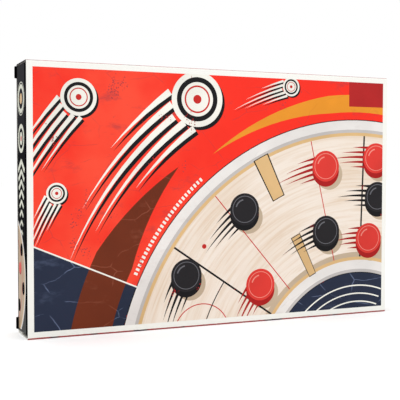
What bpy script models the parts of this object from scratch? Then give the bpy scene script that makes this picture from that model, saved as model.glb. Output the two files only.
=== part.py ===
"""Boxed sling puck game: a printed card sleeve, a folded card tray that slides in it, and the wooden
game board that the tray holds, with its two elastic slings and ten pucks.

The box stands on its long edge. X runs along its length, Y through its depth with the printed front at -Y,
and Z is up. The origin is the middle of the base. Everything the tray holds is modelled lying flat, with
its own Z up and the tray's underside at zero, and one empty stands it upright inside the sleeve.
"""

import math

import bmesh
import bpy
from mathutils import Matrix, Vector

# Clearances
seat_gap = 0.0003
tray_clearance = 0.0004
cut_overrun = 0.004

# Pucks, five a side, each in a lane of its own
puck_diameter = 0.030
puck_thickness = 0.010
puck_edge = 0.0024
lanes = 5
lane_room = 0.006
outer_room = 0.003

# Where each puck stands, as shares of its half's free length from the divider, lane by lane
black_place_shares = (0.62, 0.30, 0.52, 0.16, 0.74)
red_place_shares = (0.24, 0.66, 0.90, 0.40, 0.12)

# Wooden frame
field_length = 0.157
rail_height = 0.030
rail_thickness = 0.014
rail_edge = 0.0012
divider_thickness = 0.012
gate_side_room = 0.006
gate_head_room = 0.003
gate_corner = 0.004
panel_thickness = 0.004
panel_rise = 0.003
panel_tongue = 0.004
panel_slack = 0.0008

# Rubber feet
foot_height = 0.0025
foot_radius = 0.0055
foot_taper = 0.0008
foot_inset = 0.016

# Wood screws
screw_length = 0.034
screw_shank = 0.00175
screw_head = 0.0034
screw_head_height = 0.0026
screw_sink = 0.0006
screw_tip = 0.004
screw_rise = 0.019

# Elastic slings
cord_diameter = 0.0030
cord_hole_slack = 0.0004
sling_setback = 0.030
sling_grip = 0.034
knot_pitch_share = 1.1

# The overhand knot's route in cord pitches: out of the rail, over, round itself and under its own arch
knot_route_shares = (
    (0.00, 0.00, 0.00), (0.00, 0.00, 0.85), (0.05, -0.02, 1.70), (0.75, -0.10, 2.32), (1.68, -0.12, 2.10),
    (2.25, 0.10, 1.38), (2.00, 0.80, 0.75), (1.10, 1.40, 0.58), (0.00, 1.42, 0.58), (-1.00, 0.88, 0.60),
    (-1.30, -0.10, 0.68), (-0.85, -1.00, 0.82), (0.10, -1.30, 0.98), (0.90, -0.75, 1.08),
    (1.08, 0.25, 1.22), (0.88, 1.20, 1.66), (0.45, 1.90, 2.00),
)

# Card tray round the board
tray_card = 0.0010
tray_crease = 0.0013
end_room = 0.0016
knot_clearance = 0.0007
rim_above_frame = 0.0027
hem_gap = 0.0004
hem_notch = 0.0026
side_wall_drop = 0.0005
lock_tab_width = 0.022
lock_tab_spacing = 0.110
ear_length = 0.0106
ear_reach = 0.0022
ear_corner = 0.0009
ear_skin = 0.0001
ear_root = 0.003

# Instruction leaflet, folded once
leaflet_paper = 0.0004
leaflet_length = 0.140
leaflet_width = 0.100
leaflet_offset = 0.050

# Card sleeve round the tray
sleeve_card = 0.0012
sleeve_crease = 0.0017
glue_lap = 0.018
glue_line = 0.0003

# Units and fineness
millimetre = 0.001
merging = 0.00001
turned_steps = 28
edge_segments = 4
puck_edge_segments = 3
crease_segments = 4
knot_samples = 3
cord_sides_resolution = 2
smooth_angle = math.radians(40)

# Worked out: plan of the board
lane_pitch = puck_diameter + lane_room
inner_half_width = lane_pitch * (lanes - 1) / 2 + puck_diameter / 2 + outer_room
inner_half_length = divider_thickness / 2 + field_length
board_width = (inner_half_width + rail_thickness) * 2
board_length = (inner_half_length + rail_thickness) * 2
gate_width = puck_diameter + gate_side_room
gate_height = puck_thickness + gate_head_room
sling_place = inner_half_length - sling_setback
puck_near = divider_thickness / 2 + seat_gap + puck_diameter / 2
puck_far = sling_place - cord_diameter / 2 - seat_gap - puck_diameter / 2
knot_pitch = cord_diameter * knot_pitch_share
knot_height = knot_pitch * max(z for x, y, z in knot_route_shares) + cord_diameter / 2
hole_radius = cord_diameter / 2 + cord_hole_slack

# Worked out: heights above the tray's underside
foot_base = tray_card + seat_gap
frame_base = foot_base + foot_height + seat_gap
frame_top = frame_base + rail_height
panel_base = frame_base + panel_rise
panel_top = panel_base + panel_thickness
puck_base = panel_top + seat_gap
cord_height = puck_base + puck_thickness / 2
screw_height = frame_base + screw_rise

# Worked out: the tray round the board, and the sleeve round the tray
hem_radius = tray_card + hem_gap / 2
tray_length = board_length + (end_room + hem_radius * 2) * 2
tray_width = board_width + (seat_gap + knot_height + knot_clearance + tray_card) * 2
tray_depth = frame_top + rim_above_frame
lap_face = sleeve_card + glue_line
tray_low = lap_face + sleeve_card + tray_clearance
tray_high = tray_low + tray_width
box_length = tray_length
box_height = tray_high + tray_clearance + sleeve_card
box_depth = tray_depth + (tray_clearance + sleeve_card) * 2
tray_back = tray_depth / 2


def clear_scene():
    """Remove whatever the file already holds."""
    for old in list(bpy.data.objects):
        bpy.data.objects.remove(old)


def new_collection(name):
    """A collection linked to the scene."""
    made = bpy.data.collections.new(name)
    bpy.context.scene.collection.children.link(made)
    return made


clear_scene()
parts = new_collection("sling_puck_game")
cutters = new_collection("cutters")


def finish_of(name, colour, roughness, metallic=0.0):
    """A plain Principled material."""
    made = bpy.data.materials.new(name)
    made.use_nodes = True
    shader = made.node_tree.nodes["Principled BSDF"]
    shader.inputs["Base Color"].default_value = (*colour, 1.0)
    shader.inputs["Roughness"].default_value = roughness
    shader.inputs["Metallic"].default_value = metallic
    return made


def keep(name, mesh, finish, parent=None, place=(0, 0, 0), turn=(0, 0, 0)):
    """Put a mesh or a curve in the part as a named piece with its finish."""
    piece = bpy.data.objects.new(name, mesh)
    parts.objects.link(piece)
    piece.data.materials.append(finish)
    piece.parent = parent
    piece.location = place
    piece.rotation_euler = turn
    return piece


def guide(name, mesh, parent=None, place=(0, 0, 0), turn=(0, 0, 0)):
    """Put a mesh among the cutters, where it shapes other pieces and is no piece itself."""
    piece = bpy.data.objects.new(name, mesh)
    cutters.objects.link(piece)
    piece.hide_render = True
    piece.display_type = "WIRE"
    piece.parent = parent
    piece.location = place
    piece.rotation_euler = turn
    return piece


def frame_empty(name, place=(0, 0, 0), turn=(0, 0, 0), parent=None):
    """An empty that carries pieces."""
    made = bpy.data.objects.new(name, None)
    parts.objects.link(made)
    made.parent = parent
    made.location = place
    made.rotation_euler = turn
    return made


def block_mesh(name, low, high):
    """A box between two corners."""
    low, high = Vector(low), Vector(high)
    size = high - low
    shape = bmesh.new()
    bmesh.ops.create_cube(shape, size=1)
    bmesh.ops.scale(shape, vec=size, verts=shape.verts)
    bmesh.ops.translate(shape, vec=(low + high) / 2, verts=shape.verts)
    mesh = bpy.data.meshes.new(name)
    shape.to_mesh(mesh)
    shape.free()
    return mesh


def rod_mesh(name, radius, length, sides):
    """A closed cylinder about Z, centred."""
    shape = bmesh.new()
    bmesh.ops.create_cone(
        shape, cap_ends=True, segments=sides, radius1=radius, radius2=radius, depth=length
    )
    mesh = bpy.data.meshes.new(name)
    shape.to_mesh(mesh)
    shape.free()
    return mesh


def line_mesh(name, points):
    """A chain of edges through the points, ready to be spun or extruded."""
    shape = bmesh.new()
    chain = [shape.verts.new(point) for point in points]
    for first, second in zip(chain, chain[1:]):
        shape.edges.new((first, second))
    mesh = bpy.data.meshes.new(name)
    shape.to_mesh(mesh)
    shape.free()
    return mesh


def sheet_mesh(name, points, along):
    """A chain of edges through the points, extruded into a sheet that is centred on the chain's plane."""
    shape = bmesh.new()
    sweep = Vector(along)
    chain = [shape.verts.new(Vector(point) - sweep / 2) for point in points]
    for first, second in zip(chain, chain[1:]):
        shape.edges.new((first, second))
    swept = bmesh.ops.extrude_edge_only(shape, edges=shape.edges[:])
    corners = [item for item in swept["geom"] if isinstance(item, bmesh.types.BMVert)]
    bmesh.ops.translate(shape, vec=sweep, verts=corners)
    mesh = bpy.data.meshes.new(name)
    shape.to_mesh(mesh)
    shape.free()
    return mesh


def arc(centre, radius, start, end, segments=crease_segments):
    """Points of an arc in a plane, angles in degrees, both ends included."""
    steps = [start + (end - start) * step / segments for step in range(segments + 1)]
    return [
        (centre[0] + radius * math.cos(math.radians(a)), centre[1] + radius * math.sin(math.radians(a)))
        for a in steps
    ]


def add_bevel(piece, width, segments=edge_segments):
    """Rounded edges."""
    bevel = piece.modifiers.new("rounded edges", "BEVEL")
    bevel.width = width
    bevel.segments = segments
    bevel.limit_method = "ANGLE"
    return bevel


def add_thickness(piece, thickness):
    """The card's thickness, behind the sheet's outer face."""
    solid = piece.modifiers.new("card thickness", "SOLIDIFY")
    solid.thickness = thickness
    solid.offset = -1
    solid.use_even_offset = True
    return solid


def add_turning(piece):
    """A profile about Z, turned into a solid."""
    turned = piece.modifiers.new("turned", "SCREW")
    turned.steps = turned_steps
    turned.render_steps = turned_steps
    turned.use_merge_vertices = True
    turned.merge_threshold = merging
    return turned


def change(piece, other, operation):
    """Cut another shape from a piece, or join it to the piece."""
    made = piece.modifiers.new(operation.lower() + " " + other.name, "BOOLEAN")
    made.operation = operation
    made.solver = "EXACT"
    made.object = other
    return made


def shade_round(piece):
    """Smooth shading that keeps the real edges sharp."""
    piece.data.shade_smooth()
    piece.data.set_sharp_from_angle(angle=smooth_angle)


def smooth_route(points, samples):
    """A smooth curve through the points, with even samples between each pair."""
    points = [Vector(p) for p in points]
    ends = [points[0] * 2 - points[1]] + points + [points[-1] * 2 - points[-2]]
    route = []
    for index in range(1, len(ends) - 2):
        p0, p1, p2, p3 = ends[index - 1:index + 3]
        for step in range(samples):
            t = step / samples
            route.append(
                (p1 * 2 + (p2 - p0) * t + (p0 * 2 - p1 * 5 + p2 * 4 - p3) * t ** 2
                 + (p1 * 3 - p0 - p2 * 3 + p3) * t ** 3) / 2
            )
    return route + [points[-1]]


def cord_curve(name, points):
    """An elastic cord through the points, with flat cut ends."""
    made = bpy.data.curves.new(name, "CURVE")
    made.dimensions = "3D"
    made.bevel_depth = cord_diameter / 2
    made.bevel_resolution = cord_sides_resolution
    made.use_fill_caps = True
    spline = made.splines.new("POLY")
    spline.points.add(len(points) - 1)
    for slot, point in zip(spline.points, points):
        slot.co = (*point, 1)
    return made


printed_card = finish_of("printed card", (0.86, 0.12, 0.08), 0.35)
dark_card = finish_of("dark card", (0.045, 0.05, 0.065), 0.5)
leaflet_paper_finish = finish_of("leaflet paper", (0.85, 0.84, 0.80), 0.7)
limed_wood = finish_of("limed wood", (0.80, 0.77, 0.73), 0.55)
pine = finish_of("pine", (0.75, 0.52, 0.26), 0.5)
panel_wood = finish_of("panel wood", (0.82, 0.72, 0.56), 0.45)
black_elastic = finish_of("black elastic", (0.012, 0.012, 0.014), 0.8)
black_puck_finish = finish_of("black puck", (0.018, 0.018, 0.02), 0.3)
red_puck_finish = finish_of("red puck", (0.65, 0.02, 0.015), 0.3)
steel = finish_of("zinc steel", (0.6, 0.6, 0.58), 0.35, 1.0)
foot_rubber = finish_of("foot rubber", (0.03, 0.03, 0.03), 0.85)


def make_sleeve():
    """The sleeve: one card folded at four creases, its glue lap turned in under the base."""
    back, front = box_depth / 2, -box_depth / 2
    r = sleeve_crease
    line = [(back - glue_lap, lap_face)]
    line += arc((back - r, lap_face + r), r, -90, 0)
    line += arc((back - r, box_height - r), r, 0, 90)
    line += arc((front + r, box_height - r), r, 90, 180)
    line += arc((front + r, r), r, 180, 270)
    line += [(back - r, 0)]
    sheet = sheet_mesh("carton_sleeve", [(0, y, z) for y, z in line], (-box_length, 0, 0))
    sleeve = keep("carton_sleeve", sheet, printed_card)
    add_thickness(sleeve, sleeve_card)
    return sleeve


def make_tray(upright):
    """The tray: base and rolled-over ends from one strip, side walls, lock tabs and corner ears."""
    end = tray_length / 2
    top = tray_depth
    half = tray_width / 2
    strip_half = half - tray_card / 2
    leaf = end - hem_radius * 2
    foot = tray_card + seat_gap
    right = [(leaf, foot), (leaf, top - hem_radius)]
    right += arc((end - hem_radius, top - hem_radius), hem_radius, 180, 0, crease_segments * 2)[1:]
    right += arc((end - tray_crease, tray_crease), tray_crease, 0, -90)
    left = [(-x, z) for x, z in reversed(right)]
    sheet = sheet_mesh("game_tray", [(x, 0, z) for x, z in right + left], (0, -strip_half * 2, 0))
    tray = keep("game_tray", sheet, dark_card, upright)
    add_thickness(tray, tray_card)

    for side, word in ((1, "right"), (-1, "left")):
        for edge, letter in ((1, "a"), (-1, "b")):
            inner, outer = leaf - cut_overrun, end - hem_radius
            low_y, high_y = half - hem_notch, half + cut_overrun
            notch = block_mesh(
                "hem_notch", (inner, low_y, foot - seat_gap / 2), (outer, high_y, top + cut_overrun)
            )
            notch.transform(Matrix.Diagonal((side, edge, 1, 1)))
            if side * edge < 0:
                notch.flip_normals()
            change(tray, guide(f"hem_notch_{word}_{letter}", notch, upright), "DIFFERENCE")

    for edge, word in ((1, "upper"), (-1, "lower")):
        wall = block_mesh(
            "side_wall",
            (-end + tray_card / 2, min(edge * half, edge * (half - tray_card)), tray_card / 2),
            (end - tray_card / 2, max(edge * half, edge * (half - tray_card)), top - side_wall_drop),
        )
        change(tray, guide(f"side_wall_{word}", wall, upright), "UNION")

    for side, word in ((1, "right"), (-1, "left")):
        for edge, letter in ((1, "a"), (-1, "b")):
            middle = edge * lock_tab_spacing / 2
            tab_low = tray_card * 2 + seat_gap
            centre_x = side * (leaf + tray_card / 2)
            slot = block_mesh(
                "lock_slot",
                (-tray_card / 2 - seat_gap, -lock_tab_width / 2 - seat_gap, -cut_overrun),
                (tray_card / 2 + seat_gap, lock_tab_width / 2 + seat_gap, tray_card + seat_gap / 2),
            )
            slot_place = (centre_x, middle, 0)
            change(tray, guide(f"lock_slot_{word}_{letter}", slot, upright, slot_place), "DIFFERENCE")
            tab = block_mesh(
                "lock_tab",
                (-tray_card / 2 + ear_skin, -lock_tab_width / 2, ear_skin),
                (tray_card / 2 - ear_skin, lock_tab_width / 2, tab_low),
            )
            change(tray, guide(f"lock_tab_{word}_{letter}", tab, upright, slot_place), "UNION")

    for side, word in ((1, "right"), (-1, "left")):
        for edge, letter in ((1, "a"), (-1, "b")):
            ear = block_mesh(
                "ear",
                (-ear_root, -ear_length / 2, ear_skin),
                (ear_reach, ear_length / 2, tray_card - ear_skin),
            )
            turn = (0, 0, 0 if side > 0 else math.pi)
            place = (side * end, edge * (half - ear_skin - ear_length / 2), 0)
            shape = guide(f"ear_{word}_{letter}", ear, upright, place, turn)
            corners = shape.modifiers.new("rounded corners", "BEVEL")
            corners.width = ear_corner
            corners.segments = edge_segments
            corners.limit_method = "WEIGHT"
            mark_upright_edges(ear)
            change(tray, shape, "UNION")
    return tray


def mark_upright_edges(mesh):
    """Give the edges along Z the full bevel weight."""
    weight = mesh.attributes.new("bevel_weight_edge", "FLOAT", "EDGE")
    for edge in mesh.edges:
        first, second = (mesh.vertices[i].co for i in edge.vertices)
        run = second - first
        weight.data[edge.index].value = 1.0 if abs(run.z) > max(abs(run.x), abs(run.y)) else 0.0


def make_leaflet(upright):
    """The instruction leaflet: one sheet folded in half, lying on the tray's base under the board."""
    low = tray_card + seat_gap
    turn_radius = leaflet_paper + hem_gap / 2
    far = leaflet_length / 2
    line = [(-far, low), (far - turn_radius, low)]
    line += arc((far - turn_radius, low + turn_radius), turn_radius, -90, 90, crease_segments * 2)[1:]
    line += [(-far, low + turn_radius * 2)]
    sheet = sheet_mesh("instruction_leaflet", [(x, 0, z) for x, z in line], (0, leaflet_width, 0))
    leaflet = keep("instruction_leaflet", sheet, leaflet_paper_finish, upright, (leaflet_offset, 0, 0))
    add_thickness(leaflet, leaflet_paper)
    return leaflet


def make_frame(board):
    """Panel, four rails and the divider with its gate."""
    tongue_x = inner_half_length + panel_tongue
    tongue_y = inner_half_width + panel_tongue
    panel_mesh = block_mesh(
        "play_panel", (-tongue_x, -tongue_y, panel_base), (tongue_x, tongue_y, panel_top)
    )
    keep("play_panel", panel_mesh, panel_wood, board)
    groove_mesh = block_mesh(
        "panel_groove",
        (-tongue_x - panel_slack, -tongue_y - panel_slack, panel_base - seat_gap),
        (tongue_x + panel_slack, tongue_y + panel_slack, panel_top + seat_gap),
    )
    groove = guide("panel_groove", groove_mesh, board)

    holes = []
    for side, word in ((-1, "left"), (1, "right")):
        hole = rod_mesh("cord_hole", hole_radius, board_width + cut_overrun * 2, turned_steps // 2)
        holes.append(
            guide(f"cord_hole_{word}", hole, board, (side * sling_place, 0, cord_height), (math.pi / 2, 0, 0))
        )

    end_centre = board_length / 2 - rail_thickness / 2
    screw_places = {"left": -end_centre, "middle": 0, "right": end_centre}
    sockets = []
    for edge, row in ((1, "upper"), (-1, "lower")):
        head_place = edge * (board_width / 2 - screw_sink)
        turn = (-edge * math.pi / 2, 0, 0)
        for word, x in screw_places.items():
            name = f"frame_screw_{row}_{word}"
            place = (x, head_place, screw_height)
            socket = guide(f"socket_{row}_{word}", screw_profile(seat_gap, cut_overrun), board, place, turn)
            add_turning(socket)
            sockets.append(socket)
            screw = keep(name, screw_profile(0, 0), steel, board, place, turn)
            add_turning(screw)
            shade_round(screw)

    for edge, row in ((1, "upper"), (-1, "lower")):
        low_y = min(edge * board_width / 2, edge * inner_half_width)
        rail_mesh = block_mesh(
            f"side_rail_{row}",
            (-board_length / 2, low_y, frame_base),
            (board_length / 2, low_y + rail_thickness, frame_top),
        )
        rail = keep(f"side_rail_{row}", rail_mesh, limed_wood, board)
        add_bevel(rail, rail_edge, edge_segments // 2)
        change(rail, groove, "DIFFERENCE")
        for hole in holes:
            change(rail, hole, "DIFFERENCE")
        for socket in sockets:
            if row in socket.name:
                change(rail, socket, "DIFFERENCE")

    half_span = inner_half_width - seat_gap
    for side, word in ((-1, "left"), (1, "right")):
        low_x = min(side * board_length / 2, side * inner_half_length)
        rail_mesh = block_mesh(
            f"end_rail_{word}",
            (low_x, -half_span, frame_base),
            (low_x + rail_thickness, half_span, frame_top),
        )
        rail = keep(f"end_rail_{word}", rail_mesh, pine, board)
        add_bevel(rail, rail_edge, edge_segments // 2)
        change(rail, groove, "DIFFERENCE")
        for socket in sockets:
            if word in socket.name:
                change(rail, socket, "DIFFERENCE")

    divider_mesh = block_mesh(
        "centre_divider",
        (-divider_thickness / 2, -half_span, panel_top + seat_gap),
        (divider_thickness / 2, half_span, frame_top),
    )
    divider = keep("centre_divider", divider_mesh, pine, board)
    add_bevel(divider, rail_edge, edge_segments // 2)
    gate_mesh = block_mesh(
        "gate_opening",
        (-divider_thickness, -gate_width / 2, panel_base),
        (divider_thickness, gate_width / 2, panel_top + seat_gap + gate_height),
    )
    gate = guide("gate_opening", gate_mesh, board)
    add_bevel(gate, gate_corner)
    change(divider, gate, "DIFFERENCE")
    for socket in sockets:
        if "middle" in socket.name:
            change(divider, socket, "DIFFERENCE")


def screw_profile(extra, rise):
    """A countersunk screw's half outline about Z, head up; a socket for it has extra room and a rise."""
    head, shank = screw_head + extra, screw_shank + extra
    end = -screw_length - extra * 2
    points = [(0, 0, rise), (head, 0, rise)]
    if rise:
        points.append((head, 0, 0))
    points += [(shank, 0, -screw_head_height), (shank, 0, end + screw_tip), (0, 0, end)]
    return line_mesh("screw_profile", points)


def make_feet(board):
    """Four rubber pads under the rails' corners."""
    for side, word in ((-1, "left"), (1, "right")):
        for edge, row in ((1, "upper"), (-1, "lower")):
            profile = [(0, 0, foot_height), (foot_radius, 0, foot_height)]
            profile += [(foot_radius, 0, foot_taper), (foot_radius - foot_taper, 0, 0), (0, 0, 0)]
            place = (
                side * (board_length / 2 - foot_inset),
                edge * (board_width / 2 - rail_thickness / 2),
                foot_base,
            )
            foot = keep(f"foot_{row}_{word}", line_mesh("foot", profile), foot_rubber, board, place)
            add_turning(foot)
            shade_round(foot)


def least_knot_gap(route):
    """The least room between two stretches of a knot's cord, measured on the route's points."""
    walked = [0.0]
    for first, second in zip(route, route[1:]):
        walked.append(walked[-1] + (second - first).length)
    apart = cord_diameter * 2
    return min(
        (route[i] - route[j]).length - cord_diameter
        for i in range(len(route))
        for j in range(i)
        if walked[i] - walked[j] > apart
    )


def make_sling(board, side, word):
    """One elastic cord: the stretch that is drawn back, two stretches to the rails, and a knot at each end."""
    x = side * sling_place
    grip_half = sling_grip / 2
    drawn = frame_empty(f"sling_{word}_draw", (x, 0, cord_height), parent=board)
    grip = cord_curve(f"sling_{word}_grip", [(0, -grip_half, 0), (0, grip_half, 0)])
    keep(f"sling_{word}_grip", grip, black_elastic, drawn)
    face = board_width / 2
    route = smooth_route([Vector(p) * knot_pitch for p in knot_route_shares], knot_samples)
    print(f"sling_{word}: least gap inside its knots is {least_knot_gap(route) / millimetre:.2f} mm")
    for edge, row in ((1, "upper"), (-1, "lower")):
        reach = [(x, edge * (grip_half + seat_gap), cord_height), (x, edge * face, cord_height)]
        keep(f"sling_{word}_{row}", cord_curve("stretch", reach), black_elastic, board)
        knot = cord_curve("knot", route)
        place = (x, edge * (face + seat_gap), cord_height)
        keep(f"sling_{word}_{row}_knot", knot, black_elastic, board, place, (-edge * math.pi / 2, 0, 0))


def puck_mesh():
    """A turned disc with rounded edges, from its top centre down its side to its bottom centre."""
    radius, high = puck_diameter / 2, puck_thickness
    profile = [(0, high)]
    profile += arc((radius - puck_edge, high - puck_edge), puck_edge, 90, 0, puck_edge_segments)
    profile += arc((radius - puck_edge, puck_edge), puck_edge, 0, -90, puck_edge_segments)
    profile += [(0, 0)]
    return line_mesh("puck", [(x, 0, z) for x, z in profile])


def make_pucks(board):
    """Five pucks a side, one to a lane."""
    span = puck_far - puck_near
    for side, word, finish, shares in (
        (-1, "black", black_puck_finish, black_place_shares),
        (1, "red", red_puck_finish, red_place_shares),
    ):
        for lane, share in enumerate(shares):
            y = (lane - (lanes - 1) / 2) * lane_pitch
            place = (side * (puck_near + span * share), y, puck_base)
            puck = keep(f"puck_{word}_{lane + 1}", puck_mesh(), finish, board, place)
            add_turning(puck)
            shade_round(puck)


def make_game():
    """The whole boxed game."""
    make_sleeve()
    upright = frame_empty(
        "tray_slide", (0, tray_back, (tray_low + tray_high) / 2), (math.pi / 2, 0, 0)
    )
    make_tray(upright)
    make_leaflet(upright)
    board = frame_empty("game_board", parent=upright)
    make_frame(board)
    make_feet(board)
    for side, word in ((-1, "left"), (1, "right")):
        make_sling(board, side, word)
    make_pucks(board)


make_game()
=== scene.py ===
# %% [markdown]
# # A boxed sling puck game
#
# A printed carton stands on its long edge. A folded card tray slides in it, and the tray holds a wooden game
# board with two elastic slings and ten pucks. The solid model of all this is already made and stays as it is.
# This lesson dresses it: every surface gets a material made of nodes, and what a solid model can't hold, such
# as printed inks, cord and knots, is modelled here with the tools that a person would use by hand.

# %% Load the frame
import math

import bpy
from mathutils import Matrix, Vector


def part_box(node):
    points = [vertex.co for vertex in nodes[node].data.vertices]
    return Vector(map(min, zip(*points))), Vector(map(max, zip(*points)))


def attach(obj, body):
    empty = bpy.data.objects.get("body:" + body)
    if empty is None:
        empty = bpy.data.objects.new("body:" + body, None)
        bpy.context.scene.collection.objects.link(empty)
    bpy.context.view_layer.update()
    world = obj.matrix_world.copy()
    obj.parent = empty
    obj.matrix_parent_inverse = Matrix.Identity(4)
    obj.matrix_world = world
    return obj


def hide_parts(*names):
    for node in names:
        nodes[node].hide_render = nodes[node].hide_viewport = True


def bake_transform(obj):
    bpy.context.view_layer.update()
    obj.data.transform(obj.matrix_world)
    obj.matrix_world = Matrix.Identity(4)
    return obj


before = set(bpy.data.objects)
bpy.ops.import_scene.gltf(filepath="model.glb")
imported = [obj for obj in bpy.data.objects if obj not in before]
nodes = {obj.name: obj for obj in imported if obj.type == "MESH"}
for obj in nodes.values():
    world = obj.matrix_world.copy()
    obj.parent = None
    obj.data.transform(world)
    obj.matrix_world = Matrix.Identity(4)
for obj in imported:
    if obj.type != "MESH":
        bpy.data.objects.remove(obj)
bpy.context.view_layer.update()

millimetre = 0.001
sleeve_low, sleeve_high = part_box("carton_sleeve")
tray_low, tray_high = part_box("game_tray")
box_length = sleeve_high.x - sleeve_low.x
box_height = sleeve_high.z
front_face = sleeve_low.y
back_face = sleeve_high.y


def size_of(node_name):
    """The length, depth and height of a solid piece, to the micrometre."""
    low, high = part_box(node_name)
    return [round(reach, 6) for reach in high - low]


print(f"carton: {size_of('carton_sleeve')} m, {len(nodes)} solid pieces")

# %% [markdown]
# ## The camera
#
# A photograph's camera can be worked out from the box itself. Six of its corners and points along the front's
# edges were read off the picture, and the place, turn and angle of view were solved so that they fall on the
# same spots. The place is written in box lengths from the middle of the front's lower edge, because a picture
# can't tell how large a thing is.

# %% Camera
camera_in_box_lengths = Vector((-0.90349, -1.92549, 0.39959))
camera_yaw = math.radians(-23.54)
camera_pitch = math.radians(-2.17)
camera_roll = math.radians(-0.06)
picture_width = 400
focal_length_in_pixels = 836.25
sensor_width = 36.0
nearest_drawn = 10 * millimetre

camera_data = bpy.data.cameras.new("camera")
camera_data.sensor_width = sensor_width
camera_data.lens = focal_length_in_pixels / picture_width * sensor_width
camera_data.clip_start = nearest_drawn
camera = bpy.data.objects.new("camera", camera_data)
bpy.context.scene.collection.objects.link(camera)
camera.location = Vector((0, front_face, 0)) + camera_in_box_lengths * box_length
camera.rotation_euler = (
    Matrix.Rotation(camera_yaw, 3, "Z") @ Matrix.Rotation(camera_pitch, 3, "X")
    @ Matrix.Rotation(camera_roll, 3, "Y") @ Matrix.Rotation(math.pi / 2, 3, "X")
).to_euler()
bpy.context.scene.camera = camera
print(f"camera {camera.location.length:.2f} m away, lens {camera_data.lens:.1f} mm")

# %% [markdown]
# ## The light
#
# The box was photographed in a white light tent, so nearly all its light comes from everywhere. A white world
# does that by itself. One large lamp in front and a weaker one above add the little shape that is left. Many
# lamps would do too, but each would leave its own streak in the varnish. The world shows pure white to the
# camera and in glossy surfaces.

# %% World and lamps
bpy.context.scene.view_settings.view_transform = "Standard"
world = bpy.data.worlds.new("white tent")
bpy.context.scene.world = world
world.use_nodes = True
tent_light = 0.80
lamp_size = 1.2
box_middle = Vector((0, 0, box_height / 2))
lamp_places_and_powers = {
    "front lamp": ((0.5, -1.9, 1.1), 9.0),
    "top lamp": ((-0.2, 0.2, 1.9), 5.0),
}


def seen_rays(tree):
    """1 for what the camera sees, also in a glossy surface, and 0 for light that lands on something."""
    path = tree.nodes.new("ShaderNodeLightPath")
    seen = path.outputs["Is Camera Ray"]
    for kind in ("Is Glossy Ray", "Is Transmission Ray"):
        either = tree.nodes.new("ShaderNodeMath")
        either.operation = "MAXIMUM"
        tree.links.new(seen, either.inputs[0])
        tree.links.new(path.outputs[kind], either.inputs[1])
        seen = either.outputs[0]
    return seen


def tent_background():
    """The world: white to the camera and to gloss, a little dimmer as a light."""
    tree = world.node_tree
    background = tree.nodes["Background"]
    background.inputs["Color"].default_value = (1, 1, 1, 1)
    strength = tree.nodes.new("ShaderNodeMapRange")
    tree.links.new(seen_rays(tree), strength.inputs["Value"])
    strength.inputs["To Min"].default_value = tent_light
    strength.inputs["To Max"].default_value = 1.0
    tree.links.new(strength.outputs[0], background.inputs["Strength"])


def lamp(name, place, power):
    """A square lamp that points at the middle of the box."""
    data = bpy.data.lights.new(name, "AREA")
    data.size = lamp_size
    data.energy = power
    made = bpy.data.objects.new(name, data)
    bpy.context.scene.collection.objects.link(made)
    made.location = place
    made.rotation_euler = (box_middle - Vector(place)).to_track_quat("-Z", "Y").to_euler()


tent_background()
for name, (place, power) in lamp_places_and_powers.items():
    lamp(name, place, power)
    print(f"{name}: {power} W at {place}")

# %% [markdown]
# ## Helpers for modelling by hand
#
# Blender's operators act on whatever is selected, so each piece starts from an empty selection. When a piece
# is done, its place, turn and size are written into its mesh. Its object then stands at the origin, and the
# patterns in its material, which read object coordinates, are in real metres.

# %% Selection, placing and joining
def start_clean():
    """Leave nothing selected."""
    if bpy.context.object and bpy.context.object.mode == "EDIT":
        bpy.ops.object.mode_set(mode="OBJECT")
    bpy.ops.object.select_all(action="DESELECT")


def pick(*pieces):
    """Select these pieces, the first one active."""
    start_clean()
    for piece in pieces:
        piece.select_set(True)
    bpy.context.view_layer.objects.active = pieces[0]


def settle(piece):
    """Write a piece's place, turn and size into its mesh."""
    pick(piece)
    bpy.ops.object.transform_apply(location=True, rotation=True, scale=True)
    return piece


def joined(pieces, name):
    """Several pieces as one."""
    pick(*pieces)
    if len(pieces) > 1:
        bpy.ops.object.join()
    whole = bpy.context.object
    whole.name = name
    whole.data.name = name
    return whole


def edit(piece, select=True):
    """Open a piece in edit mode, with all of it selected or nothing."""
    pick(piece)
    bpy.ops.object.mode_set(mode="EDIT")
    bpy.ops.mesh.select_all(action="SELECT" if select else "DESELECT")


def done():
    """Leave edit mode."""
    bpy.ops.object.mode_set(mode="OBJECT")
    return bpy.context.object


# %% [markdown]
# ## Materials as written recipes
#
# A node tree is easier to read as sums than as boxes and wires. The class Value stands for one output socket,
# and adding or multiplying two of them makes the Math node. The class Recipe is one material, and its method
# node makes every other kind of node.

# %% Values
class Value:
    """One output socket, on which sums work."""

    def __init__(self, recipe, socket):
        self.recipe = recipe
        self.socket = socket

    def __add__(self, other):
        return self.recipe.maths("ADD", self, other)

    def __sub__(self, other):
        return self.recipe.maths("SUBTRACT", self, other)

    def __rsub__(self, other):
        return self.recipe.maths("SUBTRACT", other, self)

    def __mul__(self, other):
        return self.recipe.maths("MULTIPLY", self, other)

    __radd__ = __add__
    __rmul__ = __mul__


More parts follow.
